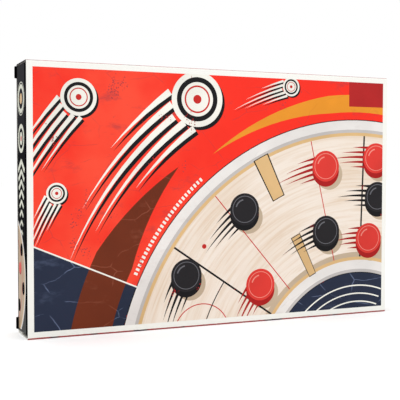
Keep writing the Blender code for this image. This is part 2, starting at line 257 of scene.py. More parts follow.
# %% Recipes
class Recipe:
    """A material that is being made, with a Principled shader."""

    def __init__(self, name, roughness=0.5, metallic=0.0, specular=0.5):
        self.material = bpy.data.materials.new(name)
        self.material.use_nodes = True
        self.tree = self.material.node_tree
        self.shader = self.tree.nodes["Principled BSDF"]
        self.shader.inputs["Roughness"].default_value = roughness
        self.shader.inputs["Metallic"].default_value = metallic
        self.shader.inputs["Specular IOR Level"].default_value = specular
        self.place = self.node("ShaderNodeTexCoord", output="Object")

    def feed(self, socket, value):
        """Link a value to a socket, or set the socket to a plain number or colour."""
        if isinstance(value, Value):
            self.tree.links.new(value.socket, socket)
        else:
            socket.default_value = value

    def node(self, kind, settings=(), inputs=(), output=0):
        """Any node: its settings first, then its sockets by name or number."""
        made = self.tree.nodes.new(kind)
        for key, setting in dict(settings).items():
            setattr(made, key, setting)
        for key, value in dict(inputs).items():
            self.feed(made.inputs[key], value)
        return Value(self, made.outputs[output])

    def maths(self, operation, *values):
        """A Math node."""
        return self.node("ShaderNodeMath", {"operation": operation}, dict(enumerate(values)))

    def axes(self, vector=None):
        """The three numbers of a vector, or else of the place."""
        split = self.node("ShaderNodeSeparateXYZ", inputs={0: vector or self.place})
        outputs = split.socket.node.outputs
        return [Value(self, outputs[index]) for index in range(3)]

    def vector(self, x, y, z=0.0):
        """A vector from three numbers."""
        return self.node("ShaderNodeCombineXYZ", inputs={0: x, 1: y, 2: z})

    def stretched(self, scale, turn=(0, 0, 0)):
        """The place, turned and scaled."""
        return self.node("ShaderNodeMapping", inputs={"Vector": self.place, "Scale": scale, "Rotation": turn})

    def noise(self, scale=1.0, detail=3.0, roughness=0.5, distortion=0.0, at=None):
        """Smooth noise between about 0.2 and 0.8."""
        return self.node("ShaderNodeTexNoise", inputs={
            "Vector": at or self.place, "Scale": scale, "Detail": detail,
            "Roughness": roughness, "Distortion": distortion,
        })

    def specks(self, scale):
        """The distance to the nearest of many scattered points."""
        return self.node("ShaderNodeTexVoronoi", inputs={"Vector": self.place, "Scale": scale})

    def ramp(self, value, low, high, start=0.0, end=1.0):
        """From start to end as the value goes from low to high, smoothly."""
        values = {"Value": value, "From Min": low, "From Max": high, "To Min": start, "To Max": end}
        return self.node("ShaderNodeMapRange", {"interpolation_type": "SMOOTHSTEP"}, values)

    def mix(self, factor, first, second):
        """From one colour to another. A Mix node's colours are its sockets 6 and 7, and its output 2."""
        return self.node("ShaderNodeMix", {"data_type": "RGBA"}, {0: factor, 6: first, 7: second}, output=2)

    def colour(self, value):
        """Set the base colour."""
        self.feed(self.shader.inputs["Base Color"], value)

    def rough(self, value):
        """Set the roughness."""
        self.feed(self.shader.inputs["Roughness"], value)

    def bump(self, height, depth):
        """Raise the surface by up to a depth in metres."""
        normal = self.node("ShaderNodeBump", inputs={"Strength": 1.0, "Distance": depth, "Height": height})
        self.feed(self.shader.inputs["Normal"], normal)


# %% Shades, and dressing a piece
def shade(red, green, blue):
    """A colour as it is read off a screen, from 0 to 255, in the linear numbers that a shader takes."""
    def linear(value):
        value /= 255
        return value / 12.92 if value <= 0.04045 else ((value + 0.055) / 1.055) ** 2.4
    return (linear(red), linear(green), linear(blue), 1.0)


def dress(piece, *recipes):
    """Give a piece its materials."""
    piece.data.materials.clear()
    for recipe in recipes:
        piece.data.materials.append(recipe.material)
    return piece


# %% [markdown]
# ## Printed inks
#
# The carton's front is offset print on coated card: flat colours with fine pale scratches and specks, under a
# satin varnish. One function makes every ink. It takes the colour and how much it is worn, and the same
# varnish lies over all of them, so that the print reads as one sheet. An image could hold all this, but only
# at one sharpness, and noise that is worked out stays sharp from near.

# %% Shades that several inks share
cream_shade = shade(253, 252, 242)
red_shade = shade(255, 50, 34)
deep_red_shade = shade(186, 38, 38)
black_shade = shade(17, 16, 19)
amber_shade = shade(231, 192, 136)
warm_left = -110 * millimetre
warm_ends = 20 * millimetre
crease_warp = 16 * millimetre
crease_edge, crease_core = 0.020, 0.004

# %% One function for all inks
def varnish(recipe, gloss=0.36):
    """The satin varnish: fine unevenness in gloss, and the card's faint surface under it."""
    fine = recipe.noise(420.0, detail=4.0)
    broad = recipe.noise(28.0, detail=2.0)
    recipe.rough(recipe.ramp(broad + fine * 0.35, 0.45, 0.95, gloss, gloss + 0.14))
    recipe.bump(fine, 0.02 * millimetre)


def crease_marks(recipe):
    """Thin bent lines such as creased paper shows: the borders between large cells, broken up by noise."""
    warp = recipe.noise(34.0, detail=4.0) * crease_warp
    x, y, z = recipe.axes()
    spot = recipe.vector(x + y + warp, z * 1.7 - warp)
    border = recipe.node(
        "ShaderNodeTexVoronoi", {"voronoi_dimensions": "2D", "feature": "DISTANCE_TO_EDGE"},
        {"Vector": spot, "Scale": 24.0},
    )
    return recipe.ramp(border, crease_edge, crease_core) * recipe.ramp(recipe.noise(60.0), 0.42, 0.60)


def ink(name, colour, worn_to, wear=0.0, creases=0.0, smudges=0.0, left=None, specular=0.12, dullest=0.86):
    """A printed ink: its colour a little uneven, with specks, creases and smudges of the shade it wears to.

    Left is another colour for the panel's left side, and dullest is the share of light that the ink's dullest
    patches keep.
    """
    recipe = Recipe(name, specular=specular)
    dull = tuple(part * dullest for part in colour[:3]) + (1.0,)
    if left:
        colour = recipe.mix(recipe.ramp(recipe.axes()[0], warm_left, warm_ends), left, colour)
    tone = recipe.mix(recipe.ramp(recipe.noise(17.0), 0.35, 0.7), dull, colour)
    if wear:
        leaning = recipe.stretched((60.0, 60.0, 34.0), (0.0, 0.6, 0.0))
        patch = recipe.noise(at=leaning, detail=4.0, roughness=0.6)
        worn = recipe.ramp(recipe.specks(560.0), 0.42, 0.30) * recipe.ramp(patch, 0.64 - wear, 0.69 - wear)
        tone = recipe.mix(worn * 0.85, tone, worn_to)
    if creases:
        tone = recipe.mix(crease_marks(recipe) * creases, tone, worn_to)
    if smudges:
        cloud = recipe.noise(at=recipe.stretched((26.0, 26.0, 60.0)), detail=5.0, roughness=0.65)
        tone = recipe.mix(recipe.ramp(cloud, 0.56, 0.74) * smudges, tone, worn_to)
    recipe.colour(tone)
    varnish(recipe)
    return recipe


# %% [markdown]
# ## The carton's card
#
# The carton has three kinds of surface: the cream coated face that the inks lie on, the raw board on the
# inside, and the cut edges. These are pale at the foot, where the base and its lap lie on each other, and
# dark above. The red print wraps the folds at top and base in a ragged line. Three materials on one solid
# are enough, and its faces are sorted by where they lie and which way they look.

# %% Coated face
top_red_starts = box_height - 0.55 * millimetre
base_red_starts = 1.7 * millimetre
red_edge = 0.15 * millimetre
ragged_reach = 0.5 * millimetre
fold_reach = 1.4 * millimetre


def coated_card():
    """Cream on the front and back. The top and the base are red, and darker where the red meets the folds."""
    recipe = Recipe("coated card", specular=0.4)
    x, y, z = recipe.axes()
    cream = recipe.mix(recipe.noise(9.0), shade(246, 246, 238), shade(251, 251, 246))
    ragged = recipe.noise(260.0, detail=5.0) * ragged_reach - ragged_reach / 2
    top = recipe.ramp(z + ragged, top_red_starts, top_red_starts + red_edge)
    base = recipe.ramp(z - ragged, base_red_starts, base_red_starts - 2 * red_edge)
    bits = recipe.noise(at=recipe.vector(x * 30.0, 0.0, z * 4.0), detail=4.0)
    fold = recipe.mix(recipe.ramp(bits, 0.52, 0.60), shade(160, 42, 38), shade(50, 28, 34))
    edge = recipe.ramp(recipe.maths("ABSOLUTE", y), back_face - fold_reach, back_face - fold_reach / 2)
    red = recipe.mix(recipe.noise(17.0), deep_red_shade, red_shade)
    sides = recipe.mix(edge, red, fold)
    recipe.colour(recipe.mix(recipe.maths("MAXIMUM", top, base), cream, sides))
    varnish(recipe)
    return recipe


# %% Raw board and cut edge
edge_dark_above = 2.4 * millimetre
edge_fade = 0.4 * millimetre


def raw_board():
    """Uncoated grey-white board with short fibres."""
    recipe = Recipe("raw board", roughness=0.85)
    fibres = recipe.noise(at=recipe.stretched((500.0, 900.0, 900.0), (0.3, 0.5, 0.2)), detail=4.0)
    recipe.colour(recipe.mix(fibres, shade(196, 192, 184), shade(224, 221, 214)))
    recipe.bump(fibres, 0.05 * millimetre)
    return recipe


def cut_edge(name, dark_above=None):
    """The cut through the board: pale, with loose fibres, and dark above a height if one is given."""
    recipe = Recipe(name, roughness=0.9, specular=0.1)
    fibres = recipe.noise(1800.0)
    tone = recipe.mix(fibres, shade(226, 224, 216), shade(250, 249, 244))
    if dark_above:
        height = recipe.axes()[2] + fibres * edge_fade
        darkened = recipe.ramp(height, dark_above, dark_above + edge_fade)
        tone = recipe.mix(darkened, tone, recipe.mix(fibres, shade(14, 13, 14), shade(44, 42, 38)))
    recipe.colour(tone)
    recipe.bump(fibres, 0.06 * millimetre)
    return recipe


# %% The carton dressed
card_thickness = 1.2 * millimetre
nearly_all = 0.9


def sort_carton_faces(carton):
    """Outer faces take the first material, inner faces the second and cut edges the third."""
    centre = (sleeve_low + sleeve_high) / 2
    inner_y = (back_face - front_face) / 2 - card_thickness * nearly_all
    inner_z = box_height / 2 - card_thickness * nearly_all
    for face in carton.data.polygons:
        out = face.center - centre
        looks_in = face.normal.dot(Vector((0, out.y, out.z))) < 0
        if abs(face.normal.x) > nearly_all:
            face.material_index = 2
        elif looks_in or (abs(out.y) < inner_y and abs(out.z) < inner_z):
            face.material_index = 1
        else:
            face.material_index = 0


inside_board, board_edge = raw_board(), cut_edge("cut edge")
darkened_edge = cut_edge("darkened cut edge", edge_dark_above)
carton = dress(nodes["carton_sleeve"], coated_card(), inside_board, darkened_edge)
sort_carton_faces(carton)
print(f"carton: {len(carton.data.polygons)} faces sorted")

# %% [markdown]
# ## Printing
#
# A print could be one big shader, but then it is only as sharp as its baked picture. Here every printed shape
# is a real sheet of ink, a hundredth to a tenth of a millimetre high, cut with the modelling tools. The
# shapes are drawn lying on the ground as on a light table, with x to the right and y up the panel, and are
# then stood up against the card. Later inks lie higher, so they cover earlier ones.

# %% Light table: bars, discs and bands
arc_step = math.radians(2.5)
disc_sides = 48
small_disc_sides = 32
same_place = 0.000001
same_point = 0.001


def bar(centre, length, width, turn=0.0):
    """A straight bar."""
    start_clean()
    bpy.ops.mesh.primitive_plane_add(size=1, location=(*centre, 0), rotation=(0, 0, turn))
    made = bpy.context.object
    made.scale = (length, width, 1)
    return settle(made)


def disc(centre, radius, sides=disc_sides):
    """A full disc."""
    start_clean()
    bpy.ops.mesh.primitive_circle_add(
        vertices=sides, radius=radius, fill_type="NGON", location=(*centre, 0)
    )
    return settle(bpy.context.object)


def band(centre, inner, outer, start, end):
    """A stretch of a ring: an edge that is spun about the centre. The angles are in degrees."""
    start, end = math.radians(start), math.radians(end)
    edge_length = outer - inner
    made = bar(((outer + inner) / 2, 0), edge_length, edge_length)
    edit(made, False)
    done()
    for corner in made.data.vertices:
        corner.select = corner.co.y < 0
    bpy.ops.object.mode_set(mode="EDIT")
    bpy.ops.mesh.delete(type="VERT")
    done()
    for corner in made.data.vertices:
        corner.co.y = 0
    made.rotation_euler.z = start
    made.location = (*centre, 0)
    settle(made)
    edit(made)
    steps = max(2, round(abs(end - start) / arc_step))
    bpy.ops.mesh.spin(steps=steps, angle=end - start, center=(*centre, 0), axis=(0, 0, -1))
    bpy.ops.mesh.select_all(action="SELECT")
    bpy.ops.mesh.remove_doubles(threshold=same_place)
    return done()


# %% Light table: streaks, rings and places
def streak(centre, radius, width, start, end):
    """A curved streak that runs out to a point: a band whose corners are drawn in to its middle line."""
    made = band(centre, radius - width / 2, radius + width / 2, start, end)
    for corner in made.data.vertices:
        spoke = corner.co.xy - Vector(centre)
        share = (math.degrees(math.atan2(spoke.y, spoke.x)) - start) / (end - start)
        drawn_in = radius + (spoke.length - radius) * (1 - share)
        corner.co.xy = Vector(centre) + spoke.normalized() * drawn_in
    edit(made)
    bpy.ops.mesh.remove_doubles(threshold=same_point)
    return done()


def ring(centre, radius, width, sides=disc_sides):
    """A thin ring: a disc whose face is inset, and its inside deleted."""
    made = disc(centre, radius, sides)
    edit(made)
    bpy.ops.mesh.inset(thickness=width)
    bpy.ops.mesh.delete(type="FACE")
    return done()


def around(centre, radius, turn):
    """A place by its radius and its angle in degrees about a centre."""
    turn = math.radians(turn)
    return (centre[0] + radius * math.cos(turn), centre[1] + radius * math.sin(turn))


def shifted(place, right, up):
    """A place moved to the right and up."""
    return (place[0] + right, place[1] + up)


# %% [markdown]
# On the light table one unit is one millimetre, so the drawing is a thousand times too large. It is scaled
# down when it is stood up. A flat sheet becomes a plate by one extrusion. It starts a little inside the card,
# so that no light gets under it, and ends at its ink's level, counted in hundredths of a millimetre. Inks
# that cross each other have levels of their own, because two faces at one height show black spots.

# %% Printed panels
ink_film = 0.01


class PrintedPanel:
    """The inks of one panel. Its window holds the left, bottom, right and top that they are cut to."""

    def __init__(self, window, plates=None):
        self.window = window
        self.plates = {} if plates is None else plates

    def through(self, window):
        """The same print, worked on through a smaller window."""
        return PrintedPanel(window, self.plates)

    def trimmed(self, sheet):
        """Cut a flat sheet to the window."""
        left, bottom, right, top = self.window
        edit(sheet)
        for place, way in (
            ((left, 0, 0), (-1, 0, 0)), ((right, 0, 0), (1, 0, 0)),
            ((0, bottom, 0), (0, -1, 0)), ((0, top, 0), (0, 1, 0)),
        ):
            bpy.ops.mesh.select_all(action="SELECT")
            bpy.ops.mesh.bisect(plane_co=place, plane_no=way, clear_outer=True)
        return done()

    def press(self, ink_name, level, shapes):
        """Print shapes in one ink, as a plate that is closed all round and ends at a level."""
        sheet = self.trimmed(joined(shapes, ink_name))
        sheet.location.z = -ink_film / 2
        settle(sheet)
        edit(sheet)
        rise = {"value": (0, 0, ink_film * (level + 0.5))}
        bpy.ops.mesh.extrude_region_move(TRANSFORM_OT_translate=rise)
        bpy.ops.mesh.select_all(action="SELECT")
        bpy.ops.mesh.normals_make_consistent(inside=False)
        self.plates.setdefault(ink_name, []).append(done())

    def stand(self, prefix, inks, turn, place, body):
        """Join what was pressed in each ink, stand it against its panel and let it ride."""
        for ink_name, plates in self.plates.items():
            whole = joined(plates, f"{prefix}_{ink_name}")
            whole.scale = (millimetre,) * 3
            whole.rotation_euler = (math.pi / 2, 0, turn)
            whole.location = place
            settle(whole)
            dress(whole, inks[ink_name])
            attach(whole, body)
            print(f"{whole.name}: {len(whole.data.polygons)} faces")


# %% [markdown]
# ## The front's picture
#
# The picture is a curved wooden lane that swings up from the lower edge to the right, with pucks flying along
# it. The red field lies outside the bend and the navy ground fills what is left. Everything in it shares one
# centre, low on the right, so each shape is told by a radius and an angle about that centre.

# %% Places on the front
left_border, right_border, high_border, low_border = 5.4, 4.8, 5.6, 6.4
half_length = box_length / 2 / millimetre
panel_height = box_height / millimetre
window = (-half_length + left_border, low_border, half_length - right_border, panel_height - high_border)
front = PrintedPanel(window)
swing = (146.0, -58.0)
far_away = 480.0
rail_width, rail_side_width = 12.0, 3.0
lane_inner, lane_outer = 112.0, 238.0
lane_middle = (lane_inner + lane_outer) / 2
lane_start, lane_end = 55.0, 178.0
lane_edge, lane_shadow_reach = 3.2, 8.0
low_rail_inner = lane_inner - rail_width
red_inner = lane_outer + rail_width
red_start, red_end = 60.0, 157.0
gate_half_width = 21
gate_start, gate_end = 115, 118.5
gate_line, gate_line_turn = 0.8, 0.3
corner_length, corner_height = 40, 24

# %% Fields of the front
def lane_band(inner, outer):
    """A band that runs along the whole lane."""
    return band(swing, inner, outer, lane_start, lane_end)


def bend(gap, width, blunt_end, thins_from, tip):
    """A bend of colour on the red field, of full width from its blunt end and then drawn out to a tip."""
    inner = red_inner + gap
    return [
        band(swing, inner, inner + width, min(blunt_end, thins_from), max(blunt_end, thins_from)),
        streak(swing, inner + width / 2, width, thins_from, tip),
    ]


def front_fields():
    """The large areas of colour, lowest ink first."""
    left, bottom, right, top = window
    ground = bar(((left + right) / 2, (bottom + top) / 2), right - left, top - bottom)
    front.press("navy", 1, [ground])
    front.press("red", 2, [band(swing, red_inner, far_away, red_start, red_end)])
    front.press("orange", 3, bend(gap=8, width=17, blunt_end=74, thins_from=97, tip=126))
    front.press("brown", 3, bend(gap=11, width=36, blunt_end=178, thins_from=154, tip=133))
    corner = (right - corner_length / 2, top - corner_height / 2)
    front.press("deep_red", 4, [bar(corner, corner_length, corner_height)])
    front.press("rail", 3, [lane_band(low_rail_inner, lane_inner), lane_band(lane_outer, red_inner)])
    front.press("rail_side", 4.2, [
        lane_band(lane_outer, lane_outer + rail_side_width),
        lane_band(low_rail_inner, low_rail_inner + rail_side_width),
    ])
    front.press("lane_shadow", 3.3, [lane_band(lane_inner + lane_edge, lane_inner + lane_shadow_reach)])
    front.press("lane", 3, [lane_band(lane_inner, lane_outer)])
    front.press("amber", 4, [
        lane_band(lane_inner, lane_inner + lane_edge),
        lane_band(lane_outer - lane_edge, lane_outer),
    ])


def lane_gate():
    """The gate across the lane: two amber bars with a black line round each, and an opening between them."""
    bars = ((lane_inner, lane_middle - gate_half_width), (lane_middle + gate_half_width, lane_outer))
    front.press("black", 4.5, [
        band(swing, low - gate_line, high + gate_line, gate_start - gate_line_turn, gate_end + gate_line_turn)
        for low, high in bars
    ])
    front.press("amber", 4.8, [band(swing, low, high, gate_start, gate_end) for low, high in bars])


front_fields()
lane_gate()
print(f"fields of the front: {', '.join(front.plates)}")

# %% [markdown]
# Thin lines are what makes such a print look crisp. The lane carries a black line along its middle and two
# across it, with two red ones, as such boards have. Cream lines separate the fields.

# %% Lines of the front
black_line_turns = (88, 146)
red_line_turns = (103, 131)
black_line, middle_line, red_line, cream_line = 1.8, 1.0, 0.9, 1.3
low_rail_line, high_rail_line = 0.7, 0.8
spot_turn, spot_radius, spot_dot = 163, 28, 2.4
dot_turn, dot_reach, lone_dot = 141.5, 36, 2.2
wave_radii = (62, 70, 78, 86)
wave_start, wave_end = 70, 140
tick_count, tick_start, tick_pitch, tick_turn = 27, 131, 0.9, 0.5
tick_gap, tick_length = 4, 3.5
parting_length = 250


def across_lane(turn, width):
    """A straight line across the lane at an angle."""
    length = lane_outer - lane_inner - 2 * lane_edge
    return bar(around(swing, lane_middle, turn), length, width, math.radians(turn))


def along_lane(start, end):
    """A stretch of the lane's middle line."""
    return band(swing, lane_middle - middle_line / 2, lane_middle + middle_line / 2, start, end)


def front_lines():
    """Lines on the lane and between the fields."""
    front.press("black", 4.1, [across_lane(turn, black_line) for turn in black_line_turns])
    front.press("black", 4, [
        along_lane(lane_start, black_line_turns[0]),
        along_lane(black_line_turns[1], lane_end),
        lane_band(low_rail_inner - low_rail_line, low_rail_inner),
        lane_band(red_inner, red_inner + high_rail_line),
    ])
    spot = around(swing, lane_middle, spot_turn)
    red_lines = [across_lane(turn, red_line) for turn in red_line_turns]
    spots = [ring(spot, spot_radius, red_line), disc(spot, spot_dot)]
    spots.append(disc(around(swing, lane_middle + dot_reach, dot_turn), lone_dot))
    front.press("mark_red", 3.8, red_lines + spots)
    parting_middle = around(swing, red_inner + parting_length / 2, red_end)
    parting = [bar(parting_middle, parting_length, cream_line, math.radians(red_end))]
    waves = [band(swing, radius, radius + cream_line, wave_start, wave_end) for radius in wave_radii]
    tick_inner = red_inner + tick_gap
    tick_turns = [tick_start + number * tick_pitch for number in range(tick_count)]
    ticks = [band(swing, tick_inner, tick_inner + tick_length, turn, turn + tick_turn) for turn in tick_turns]
    front.press("cream", 4.4, parting + waves + ticks)


front_lines()
print(f"{tick_count} ticks and {len(wave_radii)} waves")

# %% [markdown]
# A flying puck is a disc with streaks behind it. On the red field the pucks are large and cream with a black
# shadow, and on the lane they are black and red with a soft highlight. One function makes the streaks for
# both, longest in the middle.

# %% Streaks behind a puck
streak_shares = (0.46, 0.80, 1.0, 0.72, 0.38)
middle_streak = (len(streak_shares) - 1) / 2
tail_gap_share, streak_width_share, hidden_start_share = 1.12, 0.62, 0.5
puck_tops = {"black": ("puck_face", "puck_shine"), "red_puck": ("red_face", "puck_glow")}


def tail(radius, turn, size, length):
    """Five streaks behind a puck, side by side, on rings about the swing."""
    pitch = size * 2 / len(streak_shares)
    start = turn + math.degrees(size * tail_gap_share / radius)
    rows = []
    for row, share in enumerate(streak_shares):
        offset = (row - middle_streak) * pitch
        step = math.degrees(abs(offset) / radius) * hidden_start_share
        width = pitch * streak_width_share
        rows.append(streak(swing, radius + offset, width, start - step, start + length * share))
    return rows


def moved(shapes, along, up):
    """The same shapes again, shifted."""
    pick(*shapes)
    bpy.ops.object.duplicate()
    copies = list(bpy.context.selected_objects)
    for copy in copies:
        copy.location = (along, up, 0)
        settle(copy)
    return copies


# %% Flying pucks of the front
cream_pucks = ((316, 123, 25, 29), (386, 137, 16, 17), (290, 105, 9, 11), (352, 149, 9, 8))
lane_pucks = (
    (211, 150, "black", 12), (142, 139, "red_puck", 14), (206, 127, "black", 12),
    (146, 104, "black", 16), (208, 100, "red_puck", 12), (176, 82, "black", 11),
    (134, 84, "red_puck", 12), (214, 84, "red_puck", 10),
)
shadow_right_share, shadow_down_share, shadow_gap = 0.07, 0.09, 0.6
rim_share, inner_share, hub_share, hub_line_share, dot_share = 0.20, 0.62, 0.50, 0.06, 0.16
lane_puck_size, lane_puck_drop, lane_tail_share = 15.0, 5.0, 0.8
lane_shadow_right, lane_shadow_down = 4, 3
shine_share, shine_width = 0.84, 0.6
glint_inner_share, glint_outer_share, glint_start, glint_end = 0.56, 0.64, 100, 165


def cream_puck(radius, turn, size, length):
    """A large cream puck with its streaks and their black shadow."""
    centre = around(swing, radius, turn)
    streaks = tail(radius, turn, size, length)
    right = size * shadow_right_share + shadow_gap
    down = size * shadow_down_share + shadow_gap
    front.press("black", 4.2, moved(streaks, right, -down))
    front.press("black", 4.3, [disc(shifted(centre, right, -down), size)])
    front.press("cream", 4.9, streaks)
    front.press("cream", 5, [ring(centre, size, size * rim_share), disc(centre, size * inner_share)])
    front.press("mark_red", 6, [
        ring(centre, size * hub_share, size * hub_line_share),
        disc(centre, size * dot_share),
    ])


def lane_puck(radius, turn, ink_name, length):
    """A puck on the lane, with a wood-coloured shadow, streaks and a highlight."""
    size, drop = lane_puck_size, lane_puck_drop
    centre = around(swing, radius, turn)
    face, shine = puck_tops[ink_name]
    tail_level = 5 if ink_name == "black" else 5.2
    shadow = shifted(centre, lane_shadow_right, -drop - lane_shadow_down)
    front.press("lane_shadow", 3.5, [disc(shadow, size)])
    front.press(ink_name, tail_level, tail(radius, turn, size * lane_tail_share, length))
    front.press(ink_name, 6, [disc(shifted(centre, 0, -drop), size)])
    front.press(face, 7, [disc(centre, size)])
    front.press(shine, 8, [
        ring(centre, size * shine_share, shine_width),
        band(centre, size * glint_inner_share, size * glint_outer_share, glint_start, glint_end),
    ])


for radius, turn, size, length in cream_pucks:
    cream_puck(radius, turn, size, length)
for radius, turn, ink_name, length in lane_pucks:
    lane_puck(radius, turn, ink_name, length)
print(f"{len(cream_pucks)} cream pucks and {len(lane_pucks)} on the lane")

# %% [markdown]
# Now each ink gets its shade, and what it wears to. The lane is the one that isn't flat: it is a picture of
# wood, whose grain follows the bend. Noise on plain coordinates would run straight, so it is read on a radius
# and an angle about the swing's centre instead.

# %% Inks of the front
def lane_wood(name, light, dark):
    """Printed wood whose grain follows the bend of the lane."""
    recipe = ink(name, light, dark)
    x, y, z = recipe.axes()
    across = x - swing[0] * millimetre
    up = z - swing[1] * millimetre
    radius = recipe.node("ShaderNodeVectorMath", {"operation": "LENGTH"}, {0: recipe.vector(across, up)}, 1)
    turn = recipe.maths("ARCTAN2", up, across)
    along_bend = recipe.vector(radius * 300.0, turn * 2.6)
    grain = recipe.noise(at=along_bend, detail=5.0, roughness=0.62, distortion=0.3)
    figure = recipe.noise(at=recipe.vector(radius * 42.0, turn * 1.7, 4.0), detail=2.0)
    lines = recipe.ramp(grain, 0.42, 0.66) * 0.55 + recipe.ramp(figure, 0.40, 0.72) * 0.45
    recipe.colour(recipe.mix(lines, light, dark))
    return recipe


front_inks = {
    "navy": ink("navy ink", shade(38, 46, 67), shade(122, 136, 170), creases=0.6, smudges=0.22),
    "red": ink(
        "red ink", red_shade, shade(168, 62, 68), wear=0.03, creases=0.3, smudges=0.55,
        left=shade(255, 80, 56), dullest=0.95,
    ),
    "orange": ink("orange ink", shade(245, 157, 45), shade(206, 118, 44), creases=0.3, smudges=0.4),
    "brown": ink("brown ink", shade(113, 47, 23), shade(160, 92, 70), creases=0.5, smudges=0.4),
    "deep_red": ink("deep red ink", deep_red_shade, red_shade),
    "rail": ink("rail ink", shade(244, 240, 236), shade(214, 208, 204), creases=0.3, smudges=0.5),
    "rail_side": ink("rail side ink", shade(204, 199, 196), shade(180, 174, 170), smudges=0.5),
    "lane": lane_wood("lane ink", shade(247, 235, 222), shade(229, 206, 181)),
    "amber": ink("amber ink", amber_shade, shade(206, 164, 98)),
    "black": ink("black ink", black_shade, deep_red_shade, wear=0.04),
    "mark_red": ink("marking red ink", shade(208, 44, 40), red_shade),
    "cream": ink("cream ink", cream_shade, shade(150, 58, 50), wear=0.05),
    "lane_shadow": ink("lane shadow ink", shade(205, 184, 158), amber_shade),
    "red_puck": ink("puck red ink", shade(176, 28, 28), red_shade),
    "puck_face": ink("puck face ink", shade(36, 34, 37), black_shade),
    "puck_shine": ink("puck shine ink", shade(112, 112, 118), black_shade),
    "red_face": ink("red face ink", shade(230, 62, 54), red_shade),
    "puck_glow": ink("puck glow ink", shade(250, 150, 136), red_shade),
}
front.stand("front_print", front_inks, 0, (0, front_face, 0), "sleeve")

# %% [markdown]
# ## The tray's card and its printed ends
#
# The tray is the dark part at the carton's ends. It is folded from grey board that is printed on one side
# only, so its outside and the rolled-over ends are dark, the inside is bare board and the cut rims are pale.
# Its small corner ears and a strip along the front of each end are painted near-black, as painted shade, and
# the ends' fade from grey to black to grey is painted light. Again the faces are sorted by where they lie.
# Painting them by hand would do as well, but a rule in code still holds when the solid is cut into other
# faces.

# %% The tray's surfaces
tray_card = 1.0 * millimetre
tray_end = sleeve_high.x
rolled_leaf = 2.4 * millimetre
ear_starts = tray_end + 0.1 * millimetre
ear_edge = 0.05 * millimetre
front_shade_strip = -12.8 * millimetre
strip_edge = 0.2 * millimetre
# Heights of the painted light on the tray's ends: grey at the foot, black in the middle, grey at the head.
floor_light_height, black_foot, black_head, grey_head = (height * millimetre for height in (25, 60, 160, 225))
fade_wander = 20 * millimetre
worn_depth, fully_worn_depth = 1.0 * millimetre, 0.2 * millimetre
worn_reach, fully_worn_reach = 1.6 * millimetre, 0.8 * millimetre


def dark_card():
    """Dark printed board, with painted light and painted shade on its ends.

    The ends fade from grey at the foot through black to grey at the head. This is painted light, the grey
    foot standing for light from the floor. The ears and a strip at the front are near-black, as painted
    shade.
    """
    recipe = Recipe("dark printed card", specular=0.0)
    x, y, z = recipe.axes()
    # Painted light: grey at the foot stands for light from the floor, then black in the middle and grey again
    # at the head.
    height = z + recipe.noise(24.0, detail=4.0) * fade_wander
    upper = recipe.mix(recipe.ramp(height, black_head, grey_head), shade(32, 32, 34), shade(58, 58, 61))
    tone = recipe.mix(recipe.ramp(height, black_foot, floor_light_height), upper, shade(94, 94, 93))
    fibre = recipe.noise(at=recipe.stretched((700.0, 350.0, 900.0)))
    reach = recipe.maths("ABSOLUTE", x)
    fold = recipe.ramp(y, tray_high.y - worn_depth, tray_high.y - fully_worn_depth)
    fold = fold * recipe.ramp(reach, tray_end - worn_reach, tray_end - fully_worn_reach)
    tone = recipe.mix(fold * recipe.ramp(fibre, 0.5, 0.7) * 0.4, tone, shade(150, 148, 146))
    # Painted shade: the ears and a strip along the front of each end are near-black, standing for the shade
    # on the ears and beside the sleeve's front edge.
    ear_shade = recipe.ramp(reach, ear_starts - ear_edge, ear_starts)
    gap_shade = recipe.ramp(y, front_shade_strip, front_shade_strip - strip_edge)
    recipe.colour(recipe.mix(recipe.maths("MAXIMUM", ear_shade, gap_shade), tone, shade(10, 9, 12)))
    varnish(recipe, gloss=0.42)
    return recipe


def sort_tray_faces(tray):
    """The outside and the rolled ends take the first material, the inside the second, cut rims the third."""
    nearly, clearly = 0.1 * millimetre, 0.5
    half_high = (tray_high.z - tray_low.z) / 2
    centre = (tray_low.z + tray_high.z) / 2
    for face in tray.data.polygons:
        place = face.center
        rolled = abs(place.x) > tray_end - rolled_leaf - nearly
        outside = place.y > tray_high.y - nearly or abs(place.z - centre) > half_high - nearly
        sideways = abs(face.normal.y) + abs(face.normal.z) > clearly
        if rolled or (outside and sideways and place.y > tray_low.y + tray_card):
            face.material_index = 0
        elif face.normal.y < -nearly_all and place.y < tray_low.y + 2 * tray_card:
            face.material_index = 2
        else:
            face.material_index = 1


tray = dress(nodes["game_tray"], dark_card(), inside_board, board_edge)
sort_tray_faces(tray)
print(f"tray: {len(tray.data.polygons)} faces sorted")

# %% [markdown]
# The printed ends repeat the front's motifs at a smaller size: a cream puck in a ring, another that flies
# upwards with its streaks, and a bend of the wooden lane below. Both ends carry the same print, each stood
# against its own wall.

# %% Print on the tray's ends
end_back, end_front = 16.6, -front_shade_strip / millimetre
end_low = tray_low.z / millimetre + 1.6
end_high = tray_high.z / millimetre - 1.2
high_puck, high_dot = 204.0, 4.6
low_puck, low_disc, low_dot = 170.0, 5.6, 2.4
end_ring_radius, end_ring_width = 12.4, 3.6
fine_ring_radius, fine_ring_width = 14.4, 0.8
bend_centre = (-46.0, 48.0)
bend_inner, bend_outer, bend_rail = 30.0, 56.0, 59.0
bend_turn, bend_amber = 80, 1.5
bend_line_inner, bend_line_outer = 44.5, 45.5
chevron_count, chevron_top, chevron_pitch = 8, 151.0, 8.6
chevron_slant = math.radians(34)
chevron_reach, chevron_shortening = 13.0, 1.2
chevron_width, chevron_thinning = 4.2, 0.25
end_puck_size, end_puck_face, end_puck_lift = 5.0, 4.8, 1.4
end_pucks = ((50, 31, "black"), (38, 14, "red_puck"), (50, -8, "black"), (40, -36, "black"))


